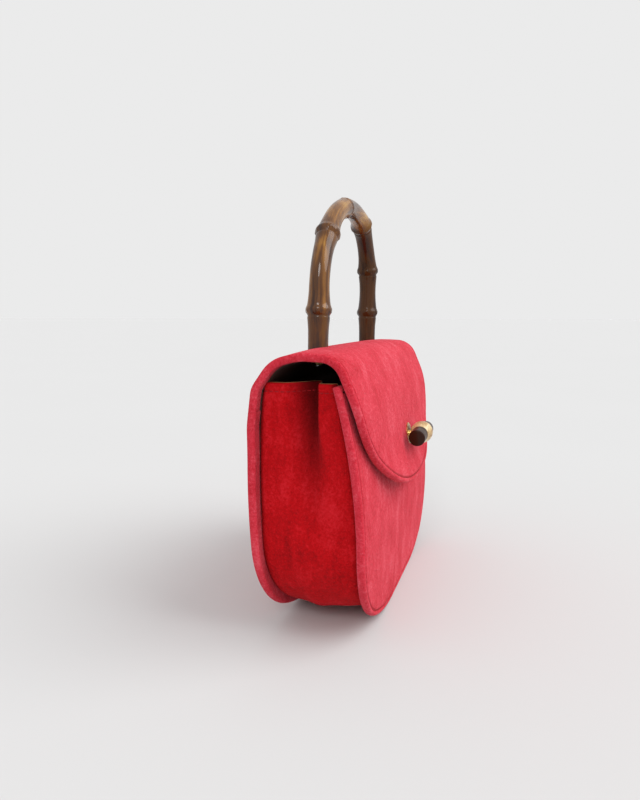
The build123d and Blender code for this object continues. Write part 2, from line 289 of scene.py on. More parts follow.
# %% Bamboo material
def make_bamboo(name, tones):
    shader = Shader(name, Coat_Roughness=0.05, Coat_IOR=1.50, Specular_IOR_Level=0.12)
    grain = shader.attribute("grain")
    scorch = shader.attribute("scorch", "Fac")
    along = shader.node("Mapping", {}, {"Vector": grain, "Scale": (1, 1, 0.035)})
    patches_at = shader.node("Mapping", {}, {"Vector": grain, "Scale": (1, 1, 0.30)})
    streaks = shader.noise(along, 650, detail=4, roughness=0.65, distortion=0.4)
    fine = shader.noise(along, 2200, detail=2, roughness=0.6)
    patches = shader.noise(patches_at, 75, detail=3, roughness=0.55, distortion=0.8)
    honey = shader.ramp(
        (streaks * 0.6 + patches * 1.5 - 0.55).clamped(), *zip((0.28, 0.46, 0.62, 0.80), tones)
    )
    burnt = (scorch + (patches - 0.5) * 1.1 + (streaks - 0.5) * 0.5).clamped()
    colour = shader.mix(burnt.above(0.35, 0.95), honey, (0.026, 0.007, 0.0015))
    rough = 0.30 + fine * 0.2
    normal = shader.bump(streaks, 0.12 * mm, 0.35, below=shader.bump(fine, 0.05 * mm, 0.4))
    coat = 0.58 - burnt.above(0.4, 0.9) * 0.42
    return shader.feed(Base_Color=colour, Roughness=rough, Normal=normal, Coat_Weight=coat)


honey_tones = [(0.034, 0.010, 0.002), (0.11, 0.038, 0.005), (0.25, 0.105, 0.015), (0.43, 0.235, 0.045)]
cream_tones = [(0.32, 0.17, 0.055), (0.56, 0.40, 0.19), (0.72, 0.58, 0.34), (0.82, 0.72, 0.52)]
bamboo = make_bamboo("scorched_bamboo", honey_tones)
pale_bamboo = make_bamboo("pale_bamboo", cream_tones)
print("bamboo nodes:", len(bamboo.node_tree.nodes))

# %% [markdown]
# ## Lines to walk along
# Most shapes here follow a line: the flap's side view, a panel's outline, the cane of the handle.
# `rounded` turns a few corners into a smooth line, and `Line` can be walked by distance.

# %% Lines
def rounded(corners, radii, step=0.25 * mm):
    """Straight runs joined by tangent arcs, as closely spaced points."""
    corners = [np.array(c, float) for c in corners]
    points = [corners[0]]
    for before, corner, after, radius in zip(corners, corners[1:], corners[2:], radii):
        arriving = (corner - before) / np.linalg.norm(corner - before)
        leaving = (after - corner) / np.linalg.norm(after - corner)
        half_turn = math.acos(np.clip(arriving @ leaving, -1, 1)) / 2
        first = corner - arriving * radius * math.tan(half_turn)
        inward = (leaving - arriving) / np.linalg.norm(leaving - arriving)
        middle = corner + inward * radius / math.cos(half_turn)
        spoke = first - middle
        across = arriving * radius
        for turn in np.linspace(0, 2 * half_turn, max(3, int(2 * half_turn * radius / step))):
            points.append(middle + spoke * math.cos(turn) + across * math.sin(turn))
    points.append(corners[-1])
    return np.array(points)


class Line:
    """A line that can be walked by distance."""

    def __init__(self, points):
        self.points = np.array(points, float)
        self.run = np.concatenate([[0], np.cumsum(np.linalg.norm(np.diff(self.points, axis=0), axis=1))])
        self.length = self.run[-1]

    def at(self, distance):
        distance = np.asarray(distance, float)
        return np.stack([np.interp(distance, self.run, axis) for axis in self.points.T], axis=-1)

    def heading(self, distance, around=0.8 * mm):
        step = self.at(np.asarray(distance) + around) - self.at(np.asarray(distance) - around)
        return step / np.linalg.norm(step, axis=-1, keepdims=True)


corner_test = Line(rounded([(0, 0), (10 * mm, 0), (10 * mm, 10 * mm)], [10 * mm]))
print("a quarter turn of 10 mm radius is", round(corner_test.length / mm, 2), "mm long")

# %% [markdown]
# ## The bag's own numbers
# The half width and the heights come from the packed pieces.  The side view of the flap and the outline
# of a panel are the pattern maker's shapes: a few corners and the radii that round them.

# %% Pattern
front_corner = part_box("front_cover")[1]
half_width = front_corner[0]
mouth = front_corner[2]
flange = 6.0 * mm
panel_thick = 4.6 * mm
flap_thick = 4.4 * mm

front_foot_y = -23.6 * mm
front_straight = 45.0 * mm
front_radius = 345.0 * mm
back_middle = (-446.3 * mm, 89.9 * mm)
back_radius = 478.35 * mm

side_corners = [
    (36.9, 100), (36.7, 118), (34.2, 138), (23.5, 153), (8, 157),
    (-14, 156), (-25.5, 129), (-30.8, 98), (-38.5, 77), (-42, 60),
]
side_radii = [60, 14, 20, 40, 16, 80, 60, 30]
flap_side = Line(rounded(np.array(side_corners) * mm, np.array(side_radii) * mm))


def front_inner(z):
    """How far back the front panel's inner face is at a height."""
    rise = np.maximum(np.asarray(z, float) - front_straight, 0)
    return front_foot_y + front_radius - np.sqrt(front_radius ** 2 - rise ** 2)


def back_inner(z):
    return back_middle[0] + np.sqrt(back_radius ** 2 - (np.asarray(z, float) - back_middle[1]) ** 2)


print("half width", round(half_width, 4), "mouth", round(mouth, 4))
print("length of the flap's side view", round(flap_side.length, 4))

# %% [markdown]
# ## Plates of suede with a turned edge
# Every panel is two skins of suede turned over at the edge and stitched 3 mm in.  Its cross-section is a
# round bead, a groove under the stitches, and a soft pillow inside.  `turned_plate` takes a flat grid of
# pattern points, grows rows outward from its rim with that cross-section, and wraps it all onto a surface.

# %% Cross-section of the edge
edge_width = 6.0 * mm
stitch_inset = 3.1 * mm
thread_lift = 0.22 * mm
turned_under = 2.5 * mm
pillow_rise = 22 * mm
edge_rows = np.array([5.0, 4.2, 3.7, 3.4, 3.1, 2.8, 2.4, 1.9, 1.4, 0.9, 0.5, 0.2, 0.0]) * mm


def edge_height(inset, thick):
    """Height of the upper skin, measured from the nominal outside, at a distance from the edge."""
    inset = np.asarray(inset, float)
    bead = 1.3 * mm
    roll = np.sqrt(np.clip(1 - (1 - np.minimum(inset / bead, 1)) ** 2, 0, 1))
    groove = np.exp(-((inset - stitch_inset) / (0.5 * mm)) ** 2) * 0.95 * mm
    return -thick / 2 + thick / 2 * roll - groove


print("depth under the stitches:", round(-float(edge_height(stitch_inset, panel_thick)) / mm, 2), "mm")

# %% Grids, normals and meshes
def outward(points, closed):
    """Unit normals, to the right of travel, of a flat line of pattern points."""
    ahead = np.roll(points, -1, axis=0) - points
    behind = points - np.roll(points, 1, axis=0)
    if not closed:
        ahead[-1] = behind[-1]
        behind[0] = ahead[0]
    ahead /= np.maximum(np.linalg.norm(ahead, axis=1, keepdims=True), 1e-9)
    behind /= np.maximum(np.linalg.norm(behind, axis=1, keepdims=True), 1e-9)
    along = ahead + behind
    along /= np.linalg.norm(along, axis=1, keepdims=True)
    right = np.stack([along[:, 1], -along[:, 0]], axis=1)
    mitre = np.clip((ahead * along).sum(axis=1, keepdims=True), 0.6, 1)
    return right / mitre


def grid_faces(rows, columns, first=0, wrap=False):
    """Quads over a grid of points that is stored row by row."""
    faces = []
    last = columns if wrap else columns - 1
    for row in range(rows - 1):
        for column in range(last):
            beside = (column + 1) % columns
            here = first + row * columns
            faces.append((here + column, here + beside, here + columns + beside, here + columns + column))
    return faces


def mark(piece, name, values):
    """Store one number per point, for a material to read."""
    piece.data.attributes.new(name, "FLOAT", "POINT").data.foreach_set("value", np.ravel(values))


def make_mesh(name, points, faces, material, body=None):
    """A smooth object from points and faces, riding on a body if one is named."""
    mesh = bpy.data.meshes.new(name)
    mesh.from_pydata([tuple(p) for p in np.asarray(points, float).reshape(-1, 3)], [], faces)
    mesh.validate()
    mesh.shade_smooth()
    mesh.materials.append(material)
    piece = bpy.data.objects.new(name, mesh)
    bpy.context.scene.collection.objects.link(piece)
    if body:
        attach(piece, body)
    return piece


print("a grid of 3 by 4 points has", len(grid_faces(3, 4)), "faces")

# %% Turned plate
def turned_plate(name, grid, wrap, thick, pillow, material, open_start=False):
    """Suede plate.  grid is rows x columns x 2 pattern points, from its first row to its last;
    wrap(x, s, height) puts pattern points in space; open_start leaves the first row without an edge."""
    rows, columns = grid.shape[:2]
    left = [(r, 0) for r in range(rows)]
    bottom = [(rows - 1, c) for c in range(1, columns)]
    right = [(r, columns - 1) for r in range(rows - 2, -1, -1)]
    top = [] if open_start else [(0, c) for c in range(columns - 2, 0, -1)]
    rim = left + bottom + right + top
    rim_points = np.array([grid[r, c] for r, c in rim])
    away = outward(rim_points, closed=not open_start)
    from_middle = rim_points[rows // 2] - grid.reshape(-1, 2).mean(axis=0)
    if away[rows // 2] @ from_middle < 0:
        away = -away
    to_rim = np.linalg.norm(grid[:, :, None] - rim_points[None, None, ::6], axis=-1).min(axis=-1)
    puff = pillow * (1 - np.exp(-to_rim / pillow_rise))
    inside = wrap(grid[..., 0], grid[..., 1], edge_height(edge_width, thick) + puff)
    points = [inside.reshape(-1, 3)]
    pressed = [np.zeros(rows * columns)]
    faces = grid_faces(rows, columns)
    upper = [(inset, edge_height(inset, thick)) for inset in edge_rows]
    lower = [(inset, -thick - edge_height(inset, thick)) for inset in edge_rows[::-1][1:7]]
    lower += [(edge_width + turned_under, -thick)]
    count = rows * columns
    previous = [r * columns + c for r, c in rim]
    size = len(rim)
    for inset, height in upper + lower:
        line = rim_points + away * (edge_width - inset)
        points.append(wrap(line[:, 0], line[:, 1], height))
        # Painted shade along the groove under the stitches.
        pressed.append(np.full(size, 0.5 * math.exp(-((inset - stitch_inset) / (0.55 * mm)) ** 2)))
        current = list(range(count, count + size))
        for i in range(size - 1 if open_start else size):
            j = (i + 1) % size
            faces.append((previous[i], previous[j], current[j], current[i]))
        previous = current
        count += size
    piece = make_mesh(name, np.concatenate(points), faces, material)
    mark(piece, "pressed", np.concatenate(pressed))
    stitch_line = rim_points + away * (edge_width - stitch_inset)
    thread_height = edge_height(stitch_inset, thick) + thread_lift
    print(name, "has", len(piece.data.vertices), "points")
    return piece, wrap(stitch_line[:, 0], stitch_line[:, 1], thread_height)


# %% [markdown]
# ## Panel outline
# Seen from the front a panel is a U: level in the middle of its foot, rising gently, then round at the
# corners.  The inset outline, 6 mm inside the edge, is where the gusset is sewn, so it is used twice.

# %% Panel outline
def u_outline(inset, top):
    """Right half of the U as pattern points, from the middle of the foot to the top of the side."""
    base_flat, base_radius, turn = 30 * mm, 130 * mm, math.radians(20)
    rise = (base_flat + base_radius * math.sin(turn), base_radius * (1 - math.cos(turn)))
    corner = (half_width - rise[0]) / (1 - math.sin(turn))
    corner_z = rise[1] + corner * math.cos(turn)
    gentle = np.linspace(0, turn, 40)[:, None]
    tight = np.linspace(turn, math.pi / 2, 60)[1:, None]

    def arc(centre, radius, angles):
        return np.array(centre) + (radius - inset) * np.hstack([np.sin(angles), -np.cos(angles)])

    rising_foot = arc((base_flat, base_radius), base_radius, gentle)
    round_corner = arc((half_width - corner, corner_z), corner, tight)
    return np.concatenate([[(0, inset)], rising_foot, round_corner, [(half_width - inset, top)]])


def panel_grid(inset, top, rows=90, columns=121):
    """Pattern grid of a panel inside its turned edge: columns crowd towards the sides."""
    half = u_outline(inset, top)
    side_x = half_width - inset
    across = side_x * np.sin(np.linspace(-math.pi / 2, math.pi / 2, columns))
    low = half[: np.argmax(half[:, 0] > side_x - 1e-6) + 1]
    foot = np.interp(np.abs(across), low[:, 0], low[:, 1])
    share = np.linspace(0, 1, rows)[:, None]
    height = top + (foot - top)[None, :] * share
    return np.stack([np.broadcast_to(across, height.shape), height], axis=-1)


print("outline points:", len(u_outline(flange, mouth)))

# %% [markdown]
# ## Front and back panels
# Both panels are suede over thin padding and board, so each is a turned plate with a low pillow.  The back
# panel runs on into the flap without a seam: it stops with an open edge just where the flap takes over.

# %% Where the panels' outsides lie
hand_over = 126 * mm
blend_from = 95 * mm
blend_to = 117 * mm
rising = np.arange(len(flap_side.points)) <= np.argmax(flap_side.points[:, 1])
flap_start = float(np.interp(hand_over, flap_side.points[rising, 1], flap_side.run[rising]))


def smooth(value, low, high):
    """0 below low, 1 above high, and a soft step between them."""
    share = np.clip((np.asarray(value, float) - low) / (high - low), 0, 1)
    return share * share * (3 - 2 * share)


def back_outer(z):
    """Outside of the back panel: its own arc below, the flap's line near the top."""
    arc = back_inner(z) + panel_thick
    top_line = np.interp(z, flap_side.points[rising, 1], flap_side.points[rising, 0])
    return arc + (top_line - arc) * smooth(z, blend_from, blend_to)


def wrap_front(x, z, height):
    x, z, height = np.broadcast_arrays(x, z, height)
    return np.stack([x, front_inner(z) - panel_thick - height, z], axis=-1)


def wrap_back(x, z, height):
    """The back panel's height is square to its outside where it meets the flap."""
    x, z, height = np.broadcast_arrays(x, z, height)
    step = 1.2 * mm
    slope = (back_outer(z + step) - back_outer(z - step)) / (2 * step) * smooth(z, blend_from, blend_to)
    off = height / np.sqrt(1 + slope ** 2)
    return np.stack([x, back_outer(z) + off, z - slope * off], axis=-1)


print("the flap starts", round(flap_start, 4), "along its side view")

# %% Front and back panels
front_pillow = 1.2 * mm
back_pillow = 1.5 * mm
front_suede, front_seam = turned_plate(
    "front_suede", panel_grid(edge_width, mouth - edge_width), wrap_front, panel_thick, front_pillow, suede)
back_suede, back_seam = turned_plate(
    "back_suede", panel_grid(edge_width, hand_over), wrap_back, panel_thick, back_pillow, suede,
    open_start=True)
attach(front_suede, "front")
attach(back_suede, "bag")
for piece, node in ((front_suede, "front_cover"), (back_suede, "back_cover")):
    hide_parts(node)
print("front seam points:", len(front_seam), "back seam points:", len(back_seam))

# %% [markdown]
# ## The flap
# The flap rises from the back, rounds over the crown and sweeps down to a tongue.  Its pattern is flat:
# x across, and s along the side view.  The sweep of its edge is two Bezier curves, the way a pattern
# cutter would draw it, moved inward by the width of the turned edge.

# %% Flap pattern
def bezier(a, b, c, d, count=60):
    t = np.linspace(0, 1, count)[:, None]
    a, b, c, d = (np.array(p, float) * mm for p in (a, b, c, d))
    return a * (1 - t) ** 3 + 3 * b * t * (1 - t) ** 2 + 3 * c * t ** 2 * (1 - t) + d * t ** 3


sweep = np.concatenate([
    bezier((105, 138), (105, 117), (95, 103.5), (70, 89.5)),
    bezier((70, 89.5), (52, 79.4), (30, 72.5), (0, 72.5))[1:],
])
falling = ~rising
edge_run = np.interp(-sweep[:, 1], -flap_side.points[falling, 1], flap_side.run[falling])
flap_edge = np.stack([sweep[:, 0], edge_run], axis=1)
flap_edge = np.concatenate([[(half_width, flap_start)], flap_edge])
steps = np.gradient(flap_edge, axis=0)
steps /= np.linalg.norm(steps, axis=1, keepdims=True)
flap_inner_edge = flap_edge + edge_width * np.stack([-steps[:, 1], steps[:, 0]], axis=1)
flap_inner_edge[0] = (half_width - edge_width, flap_start)
flap_inner_edge[-1, 0] = 0
print("flap edge s from", round(flap_start, 4), "to", round(float(flap_edge[-1, 1]), 4))

# %% Flap
def flap_grid(inner_edge, rows=120, columns=141):
    side_x = inner_edge[0, 0]
    across = side_x * np.sin(np.linspace(-math.pi / 2, math.pi / 2, columns))
    order = np.argsort(inner_edge[1:, 0])
    foot = np.interp(np.abs(across), inner_edge[1:, 0][order], inner_edge[1:, 1][order])
    share = np.linspace(0, 1, rows)[:, None]
    run = flap_start + (foot - flap_start)[None, :] * share
    return np.stack([np.broadcast_to(across, run.shape), run], axis=-1)


def wrap_flap(x, s, height):
    """Pattern points of the flap in space: height is square to its side view."""
    x, s, height = np.broadcast_arrays(x, s, height)
    side = flap_side.at(s)
    heading = flap_side.heading(s, 1.2 * mm)
    y = side[..., 0] + heading[..., 1] * height
    z = side[..., 1] - heading[..., 0] * height
    return np.stack([x, y, z], axis=-1)


flap_suede, flap_seam = turned_plate(
    "flap_suede", flap_grid(flap_inner_edge), wrap_flap, flap_thick, back_pillow, suede, open_start=True)
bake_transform(flap_suede)
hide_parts("flap_cover")

# %% [markdown]
# ## The gusset
# One long strip of suede runs down one side, under the bag and up the other side.  It is sewn 6 mm inside
# the panels' edges, so a groove shows beside it, darkened with painted shade.  Up the sides it folds
# inward, deepest at the mouth, with painted shade deep in the fold; lower down it swells out, soft and a
# little wrinkled.  Its top is turned over into a hem.  A point of the strip is a distance along it, a share
# of the way from front to back, and a depth inward.

# %% Where the strip runs
hem_start = 4 * mm
half_path = u_outline(flange, mouth + hem_start)
strip_line = Line(np.concatenate([half_path[::-1] * (-1, 1), half_path[1:]]))
strip_end = strip_line.length - hem_start

# %% Fold, groove and swelling
fold_y = 2.0 * mm
fold_from = 52 * mm
fold_full = 140 * mm
fold_deepest = 17 * mm
swelling = 3.6 * mm
wrinkle_width = 19 * mm
seam_overlap = 0.4 * mm
hem_seam = 4 * mm


def soft_noise(points, size, seed):
    """Smooth noise from -1 to 1 at each point; size is the width of one swelling."""
    flat = np.asarray(points).reshape(-1, 3) / size + seed
    return np.array([noise.noise(Vector(p)) for p in flat]).reshape(points.shape[:-1])


def fold_depth(y, z):
    """How far the side is folded inward: most at the mouth, just behind a narrow front lip."""
    tight = 0.05 + 0.10 * (1 - smooth(z, 70 * mm, 140 * mm))
    to_front = (3.5 + 7.5 * (1 - smooth(z, 75 * mm, 125 * mm))) * mm
    away = (y - fold_y) / np.where(y < fold_y, to_front, 14.0 * mm)
    ridge = 1.02 - np.sqrt(away ** 2 + 0.02)
    growth = np.clip((z - fold_from) / (fold_full - fold_from), 0, 1.1) ** 1.15
    return fold_deepest * growth * tight * np.logaddexp(0, ridge / tight)


def edge_groove(share):
    """1 along the strip's two sewn edges, 0 inside."""
    return np.exp(-(np.minimum(share, 1 - share) / 0.035) ** 2)


print("fold at the mouth:", round(float(fold_depth(fold_y, mouth)) / mm, 1), "mm deep")

# %% Surface of the strip
def strip_surface(distance, share, inward, detail=True):
    """Points of the strip in space; detail adds the swelling, the grooves and the hem's seam."""
    distance, share, inward = np.broadcast_arrays(distance, share, inward)
    middle = strip_line.at(distance)
    heading = strip_line.heading(distance)
    normal = np.stack([-heading[..., 1], heading[..., 0]], axis=-1)
    x, z = middle[..., 0], middle[..., 1]
    front = front_inner(z) - seam_overlap
    y = front + (back_inner(z) + seam_overlap - front) * share
    depth = inward + fold_depth(y, z)
    if detail:
        swell = np.sin(math.pi * share) ** 0.8 * (1 - 0.85 * smooth(z, 30 * mm, 120 * mm))
        groove = edge_groove(share) * (0.9 + 1.1 * smooth(z, fold_from, 75 * mm)) * mm
        place = np.stack([x, y, z], axis=-1)
        soft = soft_noise(place * (1, 1.6, 0.8), wrinkle_width, 4.2) * 1.4 * mm * np.sin(math.pi * share)
        hem = np.exp(-((mouth - z - hem_seam) / (0.6 * mm)) ** 2) * 0.45 * mm
        soft = soft * (1 - smooth(z, 118 * mm, 134 * mm))
        depth = depth - swelling * swell + groove + soft + hem
    return np.stack([x + normal[..., 0] * depth, y, z + normal[..., 1] * depth], axis=-1)


def strip_sheet(name, rows, columns, material, detail):
    """Sheet on the gusset from (distance, inward) rows."""
    share = np.linspace(0, 1, columns)[None, :]
    distance = np.array([row[0] for row in rows])[:, None]
    inward = np.array([row[1] for row in rows])[:, None]
    points = strip_surface(distance, share, inward, detail)
    piece = make_mesh(name, points, grid_faces(len(rows), columns), material)
    # Painted shade deep in the fold and along the grooves of the sewn edges.
    folded = smooth(fold_depth(points[..., 1], points[..., 2]), 0.5 * mm, 13 * mm)
    mark(piece, "pressed", np.clip(folded * 0.95 + edge_groove(share) * 0.8, 0, 1))
    return piece


def bend_with_front(piece):
    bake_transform(piece)


base_middle = strip_surface(strip_line.length / 2, 0.5, 0)
print("strip's middle under the bag:", [round(float(v), 4) for v in base_middle])

# %% Suede strip
hem_roll = [(6.0, 2.2), (0.5, 2.2), (-0.4, 2.0), (-0.7, 1.5), (-0.7, 0.8), (-0.4, 0.25)]
hem_rows = [(hem_start + along * mm, inward * mm) for along, inward in hem_roll]
near_top = hem_start + np.linspace(0, 8 * mm, 15)
body_rows = [(d, 0.0) for d in near_top]
body_rows += [(d, 0.0) for d in np.linspace(hem_start + 9 * mm, strip_end - 9 * mm, 240)]
body_rows += [(strip_line.length - d, 0.0) for d in near_top[::-1]]
far_hem = [(strip_line.length - d, inward) for d, inward in hem_rows[::-1]]
gusset_rows = hem_rows + body_rows + far_hem
gusset_suede = strip_sheet("gusset_suede", gusset_rows, 61, strip_suede_shaded, True)
bend_with_front(gusset_suede)
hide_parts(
    "base_cover", "base_corner_left", "base_corner_right", "gusset_left", "gusset_right")
print("gusset rows:", len(gusset_rows))

# %% [markdown]
# ## Linings and binding
# Dark leather lines the strip, both panels and the underside of the flap.  A tan binding finishes the
# inner lip of each gusset, which is the gold line seen at the mouth.  Each lining is a thin sheet that
# repeats the surface it is glued to, a little further in.

# %% Strip lining
def lining_depth(distance):
    """The lining lies over the base's stiffening board, and closer to the suede beside the folds."""
    height = strip_line.at(distance)[..., 1]
    return (2.45 + 1.25 * (1 - smooth(height, 50 * mm, 62 * mm))) * mm


lining_distances = np.linspace(hem_start + 1.5 * mm, strip_end - 1.5 * mm, 220)
lining_rows = list(zip(lining_distances, lining_depth(lining_distances)))
strip_lining = strip_sheet("strip_lining", lining_rows, 41, lining_leather, False)
bend_with_front(strip_lining)
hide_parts("base_lining", "gusset_lining_left", "gusset_lining_right")
print("strip lining rows:", len(lining_rows))

# %% Bindings
binding_roll = [(9.0, 2.6), (3.0, 2.9), (0.2, 2.95), (-0.4, 2.8), (-0.8, 2.5), (-0.85, 2.2), (-0.7, 1.9)]
for side in ("left", "right"):
    rows = [(hem_start + along * mm, inward * mm) for along, inward in binding_roll]
    if side == "right":
        rows = [(strip_line.length - d, inward) for d, inward in rows]
    binding = strip_sheet("gusset_edge_" + side, rows, 61, binding_leather, True)
    bend_with_front(binding)
    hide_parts("gusset_binding_" + side)
    print(binding.name, "has", len(binding.data.vertices), "points")


# %% Panel and flap linings
def lining_plate(name, grid, wrap, height):
    """Thin sheet over the inside of a panel or the flap, cut to the size of its pattern."""
    points = wrap(grid[..., 0], grid[..., 1], height)
    piece = make_mesh(name, points, grid_faces(*grid.shape[:2]), lining_leather)
    return piece


lining_inset = 7.2 * mm
inner_skin = 0.15 * mm
lining_tuck = 2 * mm
front_inside = lining_plate(
    "front_inside", panel_grid(lining_inset, mouth - lining_inset), wrap_front,
    -panel_thick - inner_skin)
back_inside = lining_plate(
    "back_inside", panel_grid(lining_inset, hand_over + lining_tuck), wrap_back,
    -panel_thick - inner_skin)
flap_inside = lining_plate(
    "flap_inside", flap_grid(flap_inner_edge), wrap_flap, -flap_thick - inner_skin)
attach(front_inside, "front")
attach(back_inside, "bag")
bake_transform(flap_inside)
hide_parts("front_lining")
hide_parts("back_lining")
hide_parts("flap_lining")

# %% [markdown]
# ## Stitches
# Each stitch is a short capsule of thread pressed into the groove.  They are spaced 3 mm apart, with a
# small gap where the thread dives through the suede.

# %% One row of stitches
def capsules(path, pitch, length, radius, sides=8):
    """Points and faces of a row of short threads along a line in space."""
    line = Line(path)
    count = int(line.length / pitch)
    starts = (np.arange(count) + 0.5) * line.length / count - length / 2
    shape = [(0.0, 0.25), (0.10, 0.75), (0.28, 1.0), (0.72, 1.0), (0.90, 0.75), (1.0, 0.25)]
    points, faces = [], []
    for start in starts:
        ahead = line.at(start + length) - line.at(start)
        ahead /= np.linalg.norm(ahead)
        across = np.cross(ahead, (0.31, 0.45, 0.84))
        across /= np.linalg.norm(across)
        over = np.cross(ahead, across)
        first = len(points)
        for share, swell in shape:
            middle = line.at(start + share * length)
            for k in range(sides):
                turn = 2 * math.pi * k / sides
                points.append(middle + (across * math.cos(turn) + over * math.sin(turn)) * radius * swell)
        faces += grid_faces(len(shape), sides, first, wrap=True)
        faces.append(tuple(range(first + sides - 1, first - 1, -1)))
        faces.append(tuple(range(first + (len(shape) - 1) * sides, first + len(shape) * sides)))
    return np.array(points), faces


stitch_pitch = 3.0 * mm
stitch_length = 2.45 * mm
thread_radius = 0.30 * mm
print("gap between stitches:", round((stitch_pitch - stitch_length) / mm, 2), "mm")

# %% Seams
def sew(name, path, body=None):
    points, faces = capsules(path, stitch_pitch, stitch_length, thread_radius)
    piece = make_mesh(name, points, faces, thread, body)
    return piece


sew("front_stitches", front_seam, "front")
sew("back_stitches", back_seam, "bag")
flap_stitches = sew("flap_stitches", flap_seam)
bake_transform(flap_stitches)
hem_share = np.linspace(0.03, 0.97, 200)
for side, distance in (("left", hem_start + hem_seam), ("right", strip_end - hem_seam)):
    hem_path = strip_surface(np.full(hem_share.shape, distance), hem_share, -0.15 * mm)
    bend_with_front(sew("hem_stitches_" + side, hem_path))
print("seams sewn")

# %% [markdown]
# ## Bamboo handle
# A cane swells towards each joint.  At the joint there is a sharp ridge with a groove below it, and a ring
# of small root buds.  The cane is walked from one leg, over the arch, to the other leg.

# %% Cane along a line
def cane(name, path, stations, radii, scorches, budding, material, sides=64):
    """Tube along a line in an upright plane.  budding(station, angle) adds height; scorches darken it."""
    line = Line(path)
    middle = line.at(stations)
    heading = line.heading(stations)
    side = np.cross(heading, np.array([0.0, 1.0, 0.0]))
    side /= np.linalg.norm(side, axis=1, keepdims=True)
    angle = np.linspace(0, 2 * math.pi, sides, endpoint=False)[None, :]
    radius = radii[:, None] + budding(stations[:, None], angle)
    sideways = side[:, None, :] * (radius * np.cos(angle))[..., None]
    backwards = np.array([0.0, 1.0, 0.0]) * (radius * np.sin(angle))[..., None]
    points = middle[:, None, :] + sideways + backwards
    faces = grid_faces(len(stations), sides, wrap=True)
    faces.append(tuple(range(sides - 1, -1, -1)))
    faces.append(tuple(range((len(stations) - 1) * sides, len(stations) * sides)))
    piece = make_mesh(name, points, faces, material)
    along = np.broadcast_to(stations[:, None], radius.shape)
    grain = np.stack([radius * np.cos(angle), radius * np.sin(angle), along], axis=-1)
    piece.data.attributes.new("grain", "FLOAT_VECTOR", "POINT").data.foreach_set("vector", grain.ravel())
    mark(piece, "scorch", np.broadcast_to(scorches[:, None], radius.shape))
    print(name, "is", round(line.length / mm, 1), "mm long")
    return piece


# %% The handle's arch
leg_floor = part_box("handle")[0][2] / mm
handle_y = 11.2 * mm
arch_corners = [
    (-60, leg_floor), (-56.5, 205), (-30, 236), (8, 247.5), (42, 240), (61.5, 214), (60, leg_floor),
]
arch_radii = [45, 60, 80, 35, 45]
arch = rounded(np.array(arch_corners) * mm, np.array(arch_radii) * mm)
arch_path = np.stack([arch[:, 0], np.full(len(arch), handle_y), arch[:, 1]], axis=1)
arch_length = Line(arch_path).length
print("arch length", round(arch_length, 4))

# %% The handle's joints
joints = np.array([0.098, 0.292, 0.46, 0.64, 0.785, 0.905]) * arch_length
knuckle = np.array([1.0, 1.0, 0.35, 1.0, 1.0, 1.0])
stations = np.unique(np.concatenate(
    [np.linspace(0, arch_length, 260)] + [np.linspace(j - 6 * mm, j + 6 * mm, 49) for j in joints]))
from_joint = stations[:, None] - joints[None, :]
towards_middle = np.where(joints < arch_length / 2, 1.0, -1.0)
beyond = from_joint * towards_middle[None, :]
flare = np.exp(-(beyond / (7.0 * mm)) ** 2) @ knuckle * 0.85 * mm
ridge_ring = np.exp(-((beyond - 0.4 * mm) / (1.8 * mm)) ** 2) @ knuckle * 0.75 * mm
groove_ring = np.exp(-((beyond + 3.2 * mm) / (0.8 * mm)) ** 2) @ knuckle * 0.35 * mm
waist = -0.20 * mm * np.clip(np.abs(from_joint).min(axis=1) / (18 * mm), 0, 1)
cane_radius = 6.05 * mm
cane_radii = cane_radius + flare + ridge_ring - groove_ring + waist
band = np.exp(-((beyond + 1.2 * mm) / (2.4 * mm)) ** 4) @ knuckle
far_leg = smooth(stations, 0.55 * arch_length, 0.68 * arch_length)
middle_char = np.exp(-((stations - 0.185 * arch_length) / (9 * mm)) ** 2)
first_leg = 1 - smooth(stations, 0.085 * arch_length, 0.110 * arch_length)
dark_legs = np.maximum(0.74 * far_leg, 0.60 * first_leg)
cane_scorches = np.maximum(0.52 * band, dark_legs) + 0.38 * middle_char
thinnest, thickest = 2 * cane_radii.min() / mm, 2 * cane_radii.max() / mm
print("cane from", round(thinnest, 1), "to", round(thickest, 1), "mm thick")

# %% Handle
def buds(station, angle):
    """A ring of little root buds just below each joint's ridge."""
    height = np.zeros(np.broadcast(station, angle).shape)
    for joint, way in zip(joints, towards_middle):
        near = (station - joint) * way
        ring = np.exp(-((near + 1.2 * mm) / (1.0 * mm)) ** 2)
        height = height + ring * np.clip(np.cos(angle * 11 + joint * 900), 0, 1) ** 2 * 0.38 * mm
    return height


handle_bamboo = cane("handle_bamboo", arch_path, stations, cane_radii, cane_scorches, buds, bamboo)
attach(handle_bamboo, "flap")
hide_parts("handle")

# %% [markdown]
# ## Bamboo toggle
# The turn-lock's grip is a short root of the same cane: a pale swollen joint in the middle and charred,
# cut ends.  The ends droop a little, as a short root does.

